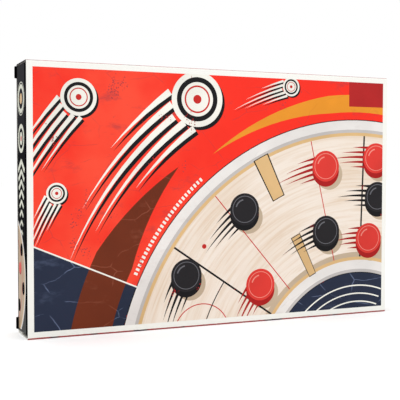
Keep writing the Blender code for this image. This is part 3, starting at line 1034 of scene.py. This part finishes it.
def chevron(panel, tip, reach, width):
    """Two bars that meet in a point, as the wake of a puck that flies up. One bar lies a little higher."""
    length = reach / math.cos(chevron_slant)
    drop = reach * math.tan(chevron_slant) / 2
    for hand in (-1, 1):
        leg = bar(shifted(tip, hand * reach / 2, -drop), length, width, -hand * chevron_slant)
        panel.press("shaded_end_cream", 1.2 + hand * 0.2, [leg])


def end_bend(inner, outer):
    """A band of the lane's bend at the foot of an end."""
    return [band(bend_centre, inner, outer, -bend_turn, bend_turn)]


def end_print(side, prefix):
    """The print of one end: -1 for the left, whose front edge is on the right, and 1 for the other."""
    left, right = (-end_back, end_front) if side < 0 else (-end_front, end_back)
    panel = PrintedPanel((left, end_low, right, end_high))
    middle = (left + right) / 2
    high, low = (middle, high_puck), (middle, low_puck)
    panel.press("shaded_end_cream", 1, [
        ring(high, fine_ring_radius, fine_ring_width),
        ring(high, end_ring_radius, end_ring_width),
    ])
    panel.press("amber", 1, [disc(high, high_dot)])
    panel.press("shaded_end_cream", 1, [ring(low, end_ring_radius, end_ring_width), disc(low, low_disc)])
    panel.press("mark_red", 2, [disc(low, low_dot)])
    for step in range(chevron_count):
        tip = (middle, chevron_top - step * chevron_pitch)
        width = chevron_width - step * chevron_thinning
        chevron(panel, tip, chevron_reach - step * chevron_shortening, width)
    panel.press("rail", 1.7, end_bend(bend_outer, bend_rail))
    panel.press("shaded_end_lane", 1.7, end_bend(bend_inner, bend_outer))
    panel.press("amber", 2, end_bend(bend_outer - bend_amber, bend_outer))
    panel.press("mark_red", 2, end_bend(bend_line_inner, bend_line_outer))
    for radius, turn, ink_name in end_pucks:
        centre = around(bend_centre, radius, turn)
        top = shifted(centre, 0, end_puck_lift)
        panel.press(ink_name, 3, [disc(centre, end_puck_size, small_disc_sides)])
        panel.press(puck_tops[ink_name][0], 4, [disc(top, end_puck_face, small_disc_sides)])
    panel.stand(prefix, end_inks, side * math.pi / 2, (side * tray_end, 0, 0), "tray")


# The ends take darker copies of the front's cream and lane inks, as painted shade for the dimmer light on the
# ends. Their black and puck faces are a little darker and have no gloss.
end_inks = dict(
    front_inks,
    black=ink("end black ink", shade(14, 13, 15), shade(60, 56, 54), specular=0.0),
    puck_face=ink("end face ink", shade(30, 28, 30), black_shade, specular=0.0),
    shaded_end_cream=ink("shaded end cream ink", shade(234, 236, 217), shade(90, 88, 84), wear=0.06),
    shaded_end_lane=ink("shaded end lane ink", shade(196, 169, 138), shade(160, 122, 96), wear=0.05, smudges=0.5),
)
end_print(-1, "left_end_print")
end_print(1, "right_end_print")

# %% [markdown]
# ## The back's print
#
# The photograph never shows the back, so its print is kept simple and in the same style: a slanted red head
# with three flying pucks, and three small pictures of the game. Each picture is told by its middle, and is
# pressed through a window of its own, so that nothing in it runs over its edge.

# %% Shapes of the back
back = PrintedPanel(window)
picture_size = 92.0
picture_keyline = 2
picture_row = 74.0
picture_pitch = 112.0
board_half, board_line = 38, 1.0
straight_radius = 900.0
flight_rim_share, flight_inner_share, flight_dot_share = 0.24, 0.58, 0.2
flight_pitch_share, flight_width_share = 0.42, 0.72
flight_gap_share, flight_gap_step_share = 1.15, 0.12
big_puck, little_puck = 13, 11


def straight_flight(head, size, length, heading):
    """A cream puck with streaks on so large a radius that they look straight. The heading is in degrees."""
    back.press("cream", 4, [ring(head, size, size * flight_rim_share), disc(head, size * flight_inner_share)])
    back.press("mark_red", 5, [disc(head, size * flight_dot_share)])
    pitch = size * flight_pitch_share
    rows = []
    for row, share in enumerate(streak_shares):
        off_middle = row - middle_streak
        centre = around(head, off_middle * pitch - straight_radius, heading - 90)
        gap = size * flight_gap_share - abs(off_middle) * size * flight_gap_step_share
        start = heading - 90 - math.degrees(gap / straight_radius)
        end = start - math.degrees(length * share / straight_radius)
        rows.append(streak(centre, straight_radius, pitch * flight_width_share, start, end))
    back.press("cream", 4, rows)


def small_puck(picture, middle, ink_name, size):
    """A puck in a picture: its shadow, its side, its face and a shine."""
    face, shine = puck_tops[ink_name]
    picture.press("lane_shadow", 7.3, [disc(shifted(middle, 2, -4), size)])
    picture.press(ink_name, 9, [disc(shifted(middle, 0, -2), size)])
    picture.press(face, 10, [disc(middle, size)])
    picture.press(shine, 11, [ring(middle, size * shine_share, 0.5)])


# %% Three small pictures
drawn_run, drawn_drop, cord_width, cord_rise = 46, 22, 1.8, -4
drawn_pucks = ((0, 2, "black", big_puck), (26, 27, "red_puck", little_puck))
gate_rise, gate_bar_reach, gate_bar_length, gate_bar_height = 8, 33, 26, 10
gate_cord, passing_rise = 1.6, 14
wake_pitch, wake_rise, wake_step, wake_length, wake_shortening = 5, -14, 3, 30, 8
red_side_ring = 26
red_side_places = ((-24, 20), (6, 26), (26, 4), (-12, -8), (14, -24))


def board_picture(number):
    """The keyline, ground and edge lines of a picture. It gives the picture and its middle."""
    x, y = (number - 1) * picture_pitch, picture_row
    half = picture_size / 2
    backing = picture_size + 2 * picture_keyline
    back.press("cream", 5, [bar((x, y), backing, backing)])
    back.press("plank", 6, [bar((x, y), picture_size, picture_size)])
    picture = back.through((x - half, y - half, x + half, y + half))
    picture.press("mark_red", 7, [
        bar((x, y + up * board_half), picture_size, board_line) for up in (1, -1)
    ])
    return picture, (x, y)


def drawn_sling_picture():
    """A sling that a black puck draws back."""
    picture, middle = board_picture(0)
    slant = math.atan2(drawn_drop, drawn_run)
    reach = math.hypot(drawn_drop, drawn_run)
    picture.press("black", 8, [
        bar(shifted(middle, hand * drawn_run / 2, cord_rise), reach, cord_width, hand * slant)
        for hand in (-1, 1)
    ])
    for right, up, ink_name, size in drawn_pucks:
        small_puck(picture, shifted(middle, right, up), ink_name, size)


def gate_picture():
    """A black puck that passes the gate, with straight streaks behind it."""
    picture, middle = board_picture(1)
    picture.press("amber", 8, [
        bar(shifted(middle, hand * gate_bar_reach, gate_rise), gate_bar_length, gate_bar_height)
        for hand in (-1, 1)
    ])
    picture.press("black", 7.5, [bar(shifted(middle, 0, gate_rise), picture_size, gate_cord)])
    small_puck(picture, shifted(middle, 0, passing_rise), "black", big_puck)
    wake = []
    for row in (-2, -1, 0, 1, 2):
        place = shifted(middle, row * wake_pitch, wake_rise + abs(row) * wake_step)
        wake.append(bar(place, cord_width, wake_length - abs(row) * wake_shortening))
    picture.press("black", 8, wake)


def red_side_picture():
    """A side with five red pucks on it."""
    picture, middle = board_picture(2)
    picture.press("mark_red", 7, [ring(middle, red_side_ring, board_line)])
    for right, up in red_side_places:
        small_puck(picture, shifted(middle, right, up), "red_puck", little_puck)


# %% Print on the back
head_slant = -6
head_length, head_height = 420, 102
head_drop, head_keyline = 20, 2
back_bleed = 10
back_pucks = (((-60, 199), 17, 92), ((52, 184), 12, 60), ((140, 176), 8, 36))


def plank_ink(name, light, dark):
    """Printed wood with straight grain."""
    recipe = ink(name, light, dark)
    grain = recipe.noise(at=recipe.stretched((9.0, 9.0, 420.0)), detail=5.0, roughness=0.62, distortion=0.3)
    recipe.colour(recipe.mix(recipe.ramp(grain, 0.40, 0.70), light, dark))
    return recipe


def back_print():
    """The whole back."""
    left, bottom, right, top = window
    back.press("navy", 1, [bar((0, (bottom + top) / 2), right - left + 2 * back_bleed, top - bottom)])
    slant = math.radians(head_slant)
    back.press("cream", 2, [bar((0, top - head_drop - head_keyline), head_length, head_height, slant)])
    back.press("red", 3, [bar((0, top - head_drop), head_length, head_height, slant)])
    for head, size, length in back_pucks:
        straight_flight(head, size, length, head_slant)
    drawn_sling_picture()
    gate_picture()
    red_side_picture()
    back.stand("back_print", back_inks, math.pi, (0, back_face, 0), "sleeve")


back_inks = dict(front_inks, plank=plank_ink("plank ink", shade(240, 226, 206), shade(220, 194, 162)))
back_print()

# %% [markdown]
# ## Wood
#
# Wood is cut from a trunk, so its grain is a solid pattern: long along the board, narrow across it. Noise
# that is stretched along the grain gives it, at three sizes: broad figure, fine lines and short dark pores.
# It runs through the block, so that the lines meet at the corners, which a picture wrapped round it seldom
# does. The grain runs along each rail, so its direction is an argument.

# %% Three woods
def wood(name, grain_axis, light, dark, pore_shade, strength=1.0, gloss=0.42):
    """Straight-grained wood with figure, fine lines and pores. The axis is 0, 1 or 2."""
    recipe = Recipe(name, specular=0.35)

    def stretch(across, along):
        scale = [across] * 3
        scale[grain_axis] = along
        return recipe.stretched(tuple(scale))

    figure = recipe.noise(at=stretch(38.0, 1.6), detail=2.0, distortion=0.8)
    rings = recipe.maths("SINE", figure * 46.0) * 0.5 + 0.5
    lines = recipe.noise(at=stretch(420.0, 7.0), detail=5.0, roughness=0.6)
    pore = recipe.ramp(recipe.noise(at=stretch(1300.0, 55.0), detail=2.0), 0.62, 0.72)
    tone = recipe.mix(recipe.ramp(rings, 0.15, 0.95, 0.0, 0.55 * strength), light, dark)
    tone = recipe.mix(recipe.ramp(lines, 0.45, 0.72, 0.0, 0.5 * strength), tone, dark)
    tone = recipe.mix(pore * (0.45 * strength), tone, pore_shade)
    recipe.colour(tone)
    recipe.rough(recipe.ramp(lines, 0.3, 0.7, gloss, gloss + 0.16))
    recipe.bump(lines - pore * 0.8, 0.06 * millimetre)
    return recipe


limed = wood("limed rail wood", 0, shade(240, 236, 231), shade(220, 212, 202), shade(190, 178, 165), 0.7)
pine = wood("pine", 2, shade(232, 198, 140), shade(206, 160, 100), shade(160, 112, 62))
pale_ply = wood("panel wood", 0, shade(240, 228, 208), shade(222, 198, 166), shade(186, 154, 118), 0.9, 0.36)
for node_name, recipe in (
    ("side_rail_upper", limed), ("side_rail_lower", limed), ("end_rail_left", pine),
    ("end_rail_right", pine), ("centre_divider", pine), ("play_panel", pale_ply),
):
    dress(nodes[node_name], recipe)
    print(f"{node_name}: {recipe.material.name}")

# %% [markdown]
# ## Lines on the play panel
#
# The board is marked like a small rink: red lines at the divider and at the ends, a black line across each
# half, a crease round the gate and two face-off rings a side. They are pressed like the carton's inks, one
# half first, and the other half is the same drawing turned round.

# %% Panel lines
panel_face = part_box("play_panel")[0].y
field_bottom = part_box("side_rail_lower")[1].z / millimetre
field_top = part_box("side_rail_upper")[0].z / millimetre
field_middle = (field_bottom + field_top) / 2
field_width = field_top - field_bottom
divider_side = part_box("centre_divider")[1].x / millimetre
rail_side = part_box("end_rail_right")[0].x / millimetre
board = PrintedPanel((-rail_side, field_bottom, rail_side, field_top))
zone_line, zone_line_width = 58, 2.2
goal_line, goal_line_width, divider_line_gap = 148, 1.2, 1.0
crease_radius, crease_outer, crease_turn = 33, 34.4, 89
spot_reach, spot_rise, gate_spot_reach = 104, 46, 40
face_off_radius, face_off_sides = 21, 64
face_off_dot, gate_dot = 2.6, 2.2
tick_reach, tick_rise, tick_height = 4.5, 23.2, 4.6
red_mark_width = 1.0


def panel_half(side):
    """The lines of one half: 1 for the right, -1 for the left."""
    gate_centre = (side * divider_side, field_middle)
    facing = 0 if side > 0 else 180
    board.press("black", 1, [
        bar((side * zone_line, field_middle), zone_line_width, field_width),
        band(gate_centre, crease_radius, crease_outer, facing - crease_turn, facing + crease_turn),
    ])
    marks = [
        bar((side * reach, field_middle), goal_line_width, field_width)
        for reach in (divider_side + divider_line_gap, goal_line)
    ]
    for up in (1, -1):
        spot = (side * spot_reach, field_middle + up * spot_rise)
        marks.append(ring(spot, face_off_radius, red_mark_width, face_off_sides))
        marks.append(disc(spot, face_off_dot, small_disc_sides))
        for tick_up in (-1, 1):
            marks += [
                bar(shifted(spot, hand * tick_reach, tick_up * tick_rise), red_mark_width, tick_height)
                for hand in (-1, 1)
            ]
    marks += [
        disc((side * gate_spot_reach, field_middle + up * spot_rise), gate_dot, small_disc_sides)
        for up in (-1, 1)
    ]
    board.press("mark_red", 1.5, marks)


panel_half(1)
panel_half(-1)
panel_inks = {
    "black": ink("panel line black", shade(34, 31, 34), shade(120, 100, 84), wear=0.02),
    "mark_red": ink("panel line red", shade(206, 46, 42), shade(226, 150, 130), wear=0.02),
}
board.stand("panel_lines", panel_inks, 0, (0, panel_face, 0), "tray")

# %% [markdown]
# ## Pucks
#
# A puck is a lacquered wooden disc with soft rims. The solid one would do from afar, but a shallow dish in
# each face is what catches the light. So it starts as a cylinder of the same size, its rims are bevelled, and
# the dish is inset. One puck is modelled and copied ten times, each copy with a mesh of its own.

# %% Lacquer
def lacquer(name, colour, deep):
    """Gloss lacquer over wood: a trace of grain and brush marks, with fine rubbed spots on the rim."""
    recipe = Recipe(name, specular=0.45)
    grain = recipe.noise(at=recipe.stretched((900.0, 900.0, 60.0)))
    cloud = recipe.noise(130.0)
    rub = recipe.ramp(recipe.specks(900.0), 0.16, 0.10) * recipe.ramp(cloud, 0.60, 0.70)
    tone = recipe.mix(recipe.ramp(grain, 0.35, 0.7), deep, colour)
    recipe.colour(recipe.mix(rub * 0.5, tone, shade(150, 130, 110)))
    recipe.rough(recipe.ramp(cloud, 0.35, 0.7, 0.20, 0.34) + rub * 0.3)
    recipe.bump(grain * 0.6 + cloud, 0.02 * millimetre)
    return recipe


lacquers = {
    "black": lacquer("black lacquer", shade(34, 33, 36), shade(22, 21, 24)),
    "red": lacquer("red lacquer", shade(205, 36, 32), shade(176, 26, 26)),
}

# %% Pucks
puck_width, puck_height = size_of("puck_black_1")[:2]
puck_sides = 72
puck_rim = 2.4 * millimetre
puck_rim_steps = 7
puck_rim_angle, puck_smooth_angle = math.radians(60), math.radians(35)
side_face_corners = 4
dish_insets_and_depths = ((1.4, 0.0), (0.7, -0.25), (0.7, 0.0))
pucks_a_side = 5


def first_puck():
    """The puck that the others are copied from, lying at the origin with its axis along Y."""
    start_clean()
    bpy.ops.mesh.primitive_cylinder_add(
        vertices=puck_sides, radius=puck_width / 2, depth=puck_height, rotation=(math.pi / 2, 0, 0)
    )
    made = settle(bpy.context.object)
    bpy.ops.object.modifier_add(type="BEVEL")
    rounding = made.modifiers[-1]
    rounding.width = puck_rim
    rounding.segments = puck_rim_steps
    rounding.limit_method = "ANGLE"
    rounding.angle_limit = puck_rim_angle
    bpy.ops.object.modifier_apply(modifier=rounding.name)
    edit(made, False)
    bpy.ops.mesh.select_mode(type="FACE")
    done()
    for face in made.data.polygons:
        face.select = len(face.vertices) > side_face_corners
    bpy.ops.object.mode_set(mode="EDIT")
    for inset, depth in dish_insets_and_depths:
        bpy.ops.mesh.inset(thickness=inset * millimetre, depth=depth * millimetre, use_individual=True)
    bpy.ops.mesh.select_mode(type="VERT")
    done()
    bpy.ops.object.shade_smooth_by_angle(angle=puck_smooth_angle)
    return made


def puck_copy(pattern, word, number):
    """One puck at its place in the frame."""
    node_name = f"puck_{word}_{number}"
    low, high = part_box(node_name)
    copy = pattern.copy()
    copy.data = pattern.data.copy()
    bpy.context.scene.collection.objects.link(copy)
    copy.name = f"{word}_puck_{number}"
    copy.location = (low + high) / 2
    settle(copy)
    dress(copy, lacquers[word])
    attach(copy, f"{word}_{number}")
    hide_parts(node_name)


pattern_puck = first_puck()
print(f"a puck: {len(pattern_puck.data.polygons)} faces")
for word in lacquers:
    for number in range(1, pucks_a_side + 1):
        puck_copy(pattern_puck, word, number)
bpy.data.objects.remove(pattern_puck)

# %% [markdown]
# ## Slings
#
# Each sling is one elastic cord with a braided black sleeve, knotted outside both long rails. The stretch in
# the middle moves with the sling's joint, so it is a piece of its own. The stretches to the rails are left
# where they are made, and the knots stay with the tray. Curves make all three, because a curve brings a map
# of its own surface, and the braid is drawn on that map.

# %% Braided cord
cord_diameter = size_of("sling_left_grip")[0]
grip_low, grip_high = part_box("sling_left_grip")
cord_plane = (grip_low.y + grip_high.y) / 2
cord_point_gap = 1.2 * millimetre
cord_roundness = 5
cord_smooth_angle = math.radians(40)
braid_pitch = 1.1 * millimetre
braid_strands = 8.0


def braided_cord():
    """A black braid: two sets of strands that cross, on the cord's own map."""
    recipe = Recipe("black braided elastic", roughness=0.75, specular=0.25)
    along, around_cord = recipe.axes(recipe.node("ShaderNodeUVMap"))[:2]
    strand = (around_cord * braid_strands) * math.tau
    turns = along * math.tau
    first = recipe.maths("SINE", turns + strand)
    second = recipe.maths("SINE", turns - strand)
    weave = recipe.maths("MAXIMUM", first, second)
    fuzz = recipe.noise(5200.0, detail=2.0)
    tone = recipe.mix(recipe.ramp(weave, -0.2, 0.9), shade(14, 13, 15), shade(46, 45, 49))
    recipe.colour(recipe.mix(recipe.ramp(fuzz, 0.60, 0.75) * 0.35, tone, shade(84, 82, 86)))
    recipe.bump(weave + fuzz * 0.4, 0.18 * millimetre)
    return recipe


def cord(name, points, node_name):
    """A cord through evenly spaced points, made a mesh whose map counts braid pitches along it."""
    data = bpy.data.curves.new(name, "CURVE")
    data.dimensions = "3D"
    data.bevel_depth = cord_diameter / 2
    data.bevel_resolution = cord_roundness
    data.use_fill_caps = True
    spline = data.splines.new("POLY")
    spline.points.add(len(points) - 1)
    for slot, point in zip(spline.points, points):
        slot.co = (*point, 1)
    made = bpy.data.objects.new(name, data)
    bpy.context.scene.collection.objects.link(made)
    pick(made)
    bpy.ops.object.convert(target="MESH")
    made = bpy.context.object
    length = sum((Vector(b) - Vector(a)).length for a, b in zip(points, points[1:]))
    for corner in made.data.uv_layers[0].data:
        corner.uv.x *= length / braid_pitch
    bpy.ops.object.shade_smooth_by_angle(angle=cord_smooth_angle)
    dress(made, elastic)
    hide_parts(node_name)
    print(f"{name}: {length / millimetre:.0f} mm")
    return made


def straight(start, end):
    """Evenly spaced points of a straight run."""
    start, end = Vector(start), Vector(end)
    steps = round((end - start).length / cord_point_gap)
    return [start.lerp(end, step / steps) for step in range(steps + 1)]


elastic = braided_cord()

# %% [markdown]
# The knot is a real overhand knot. It could be left to a simulation of a cord that is pulled tight, but a
# small one is quicker to lay out as listed points along the cord's middle, a little over a cord's width
# apart, from the hole in the rail round the loop and through it. A smooth curve then runs through the points.

# %% The knot's route
knot_pitch_share = 1.1
knot_pitch = cord_diameter * knot_pitch_share
knot_route_shares = (
    (0.00, 0.00, 0.00), (0.00, 0.00, 0.85), (0.05, -0.02, 1.70), (0.75, -0.10, 2.32), (1.68, -0.12, 2.10),
    (2.25, 0.10, 1.38), (2.00, 0.80, 0.75), (1.10, 1.40, 0.58), (0.00, 1.42, 0.58), (-1.00, 0.88, 0.60),
    (-1.30, -0.10, 0.68), (-0.85, -1.00, 0.82), (0.10, -1.30, 0.98), (0.90, -0.75, 1.08),
    (1.08, 0.25, 1.22), (0.88, 1.20, 1.66), (0.45, 1.90, 2.00),
)
knot_samples = 8


def smooth_route(points):
    """A smooth curve through the points, which bends by each point's two neighbours."""
    ends = [points[0] * 2 - points[1]] + points + [points[-1] * 2 - points[-2]]
    route = []
    for index in range(1, len(ends) - 2):
        p0, p1, p2, p3 = ends[index - 1:index + 3]
        for step in range(knot_samples):
            t = step / knot_samples
            route.append(
                (p1 * 2 + (p2 - p0) * t + (p0 * 2 - p1 * 5 + p2 * 4 - p3) * t ** 2
                 + (p1 * 3 - p0 - p2 * 3 + p3) * t ** 3) / 2
            )
    return route + [points[-1]]


def knot_points(x, rail_face, up):
    """The knot's route, out of a rail's outer face, upwards for 1 and downwards for -1."""
    route = smooth_route([Vector(share) * knot_pitch for share in knot_route_shares])
    return [Vector((x + p.x, cord_plane + p.y * up, rail_face + up * p.z)) for p in route]


# %% Both slings
def sling(word):
    """One whole sling: its grip, two stretches and two knots."""
    low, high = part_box(f"sling_{word}_grip")
    x = (low.x + high.x) / 2

    def on_line(z):
        return (x, cord_plane, z)

    body = f"sling_{word}"
    grip = cord(f"{body}_cord_middle", straight(on_line(low.z), on_line(high.z)), f"{body}_grip")
    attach(grip, body)
    for row, up, grip_end in (("upper", 1, high.z), ("lower", -1, low.z)):
        rail_low, rail_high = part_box(f"side_rail_{row}")
        outer, inner = (rail_high.z, rail_low.z) if up > 0 else (rail_low.z, rail_high.z)
        reach = cord(f"{body}_cord_{row}", straight(on_line(outer), on_line(grip_end)), f"{body}_{row}")
        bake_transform(reach)
        knot = cord(f"{body}_knot_{row}", knot_points(x, outer, up), f"{body}_{row}_knot")
        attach(knot, "tray")


sling("left")
sling("right")

# %% [markdown]
# ## Screws, feet and leaflet
#
# The screws are zinc plated steel with a cross cut into each head. A boolean cut is right here, because the
# recess is nothing but two blocks taken away. The feet are soft rubber and the leaflet is uncoated paper, and
# both keep their solid shapes.

# %% Metal, rubber and paper
def zinc():
    """Zinc plating: bright, and a little cloudy."""
    recipe = Recipe("zinc steel", roughness=0.3, metallic=1.0)
    cloud = recipe.noise(900.0)
    recipe.colour(recipe.mix(cloud, shade(176, 176, 170), shade(214, 213, 206)))
    recipe.rough(recipe.ramp(cloud, 0.3, 0.7, 0.22, 0.40))
    recipe.bump(cloud, 0.02 * millimetre)
    return recipe


def rubber():
    """Soft dark rubber with a fine dusty grain."""
    recipe = Recipe("foot rubber", roughness=0.85, specular=0.3)
    dust = recipe.noise(2400.0)
    recipe.colour(recipe.mix(recipe.ramp(dust, 0.4, 0.75), shade(36, 35, 36), shade(70, 68, 66)))
    recipe.bump(dust, 0.04 * millimetre)
    return recipe


def paper():
    """Uncoated white paper."""
    recipe = Recipe("leaflet paper", roughness=0.8, specular=0.2)
    pulp = recipe.noise(700.0, detail=4.0)
    recipe.colour(recipe.mix(pulp, shade(236, 234, 226), shade(248, 247, 242)))
    recipe.bump(pulp, 0.02 * millimetre)
    return recipe


# %% Screws with a cross
recess_reach, recess_width, recess_depth = 3.8 * millimetre, 0.9 * millimetre, 1.5 * millimetre


def crossed_screw(node_name, recipe):
    """A copy of the solid screw with a cross cut into its head."""
    low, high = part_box(node_name)
    start_clean()
    head_height = high.z if "upper" in node_name else low.z
    head = Vector(((low.x + high.x) / 2, (low.y + high.y) / 2, head_height))
    cutters = []
    for turn in (0, math.pi / 2):
        bpy.ops.mesh.primitive_cube_add(size=1, location=head, rotation=(0, 0, turn))
        made = bpy.context.object
        made.scale = (recess_reach, recess_width, recess_depth * 2)
        cutters.append(settle(made))
    screw = nodes[node_name].copy()
    screw.data = screw.data.copy()
    screw.name = node_name.replace("frame_screw", "crossed_screw")
    bpy.context.scene.collection.objects.link(screw)
    screw.parent = None
    screw.matrix_world = nodes[node_name].matrix_world
    settle(screw)
    for cutter in cutters:
        cut = screw.modifiers.new("recess", "BOOLEAN")
        cut.operation = "DIFFERENCE"
        cut.object = cutter
        pick(screw)
        bpy.ops.object.modifier_apply(modifier=cut.name)
        bpy.data.objects.remove(cutter)
    dress(screw, recipe)
    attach(screw, "tray")
    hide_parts(node_name)
    print(f"{screw.name}: {len(screw.data.polygons)} faces")


zinc_recipe, rubber_recipe, paper_recipe = zinc(), rubber(), paper()
for node_name, node in list(nodes.items()):
    if node_name.startswith("frame_screw"):
        crossed_screw(node_name, zinc_recipe)
    elif node_name.startswith("foot"):
        dress(node, rubber_recipe)
    elif node_name == "instruction_leaflet":
        dress(node, paper_recipe)

# %% [markdown]
# ## The floor
#
# A packshot's floor is a white sheet without an edge. A large plain plane does it, and only the camera and
# gloss see the glow that makes it white, so that it keeps the box's soft shadow and throws no light on it.

# %% The floor
floor_size = 12.0
floor_glow = 0.30
start_clean()
bpy.ops.mesh.primitive_plane_add(size=floor_size, location=(0, 0, 0))
floor = bpy.context.object
floor.name = "floor"
floor_recipe = Recipe("white floor", roughness=0.9, specular=0.0)
floor_recipe.colour((0.9, 0.9, 0.9, 1.0))
seen = Value(floor_recipe, seen_rays(floor_recipe.tree))
glow = floor_recipe.mix(seen, (0, 0, 0, 1), (1, 1, 1, 1))
floor_recipe.feed(floor_recipe.shader.inputs["Emission Color"], glow)
floor_recipe.shader.inputs["Emission Strength"].default_value = floor_glow
dress(floor, floor_recipe)
print(f"floor: {floor_size:.0f} m wide")
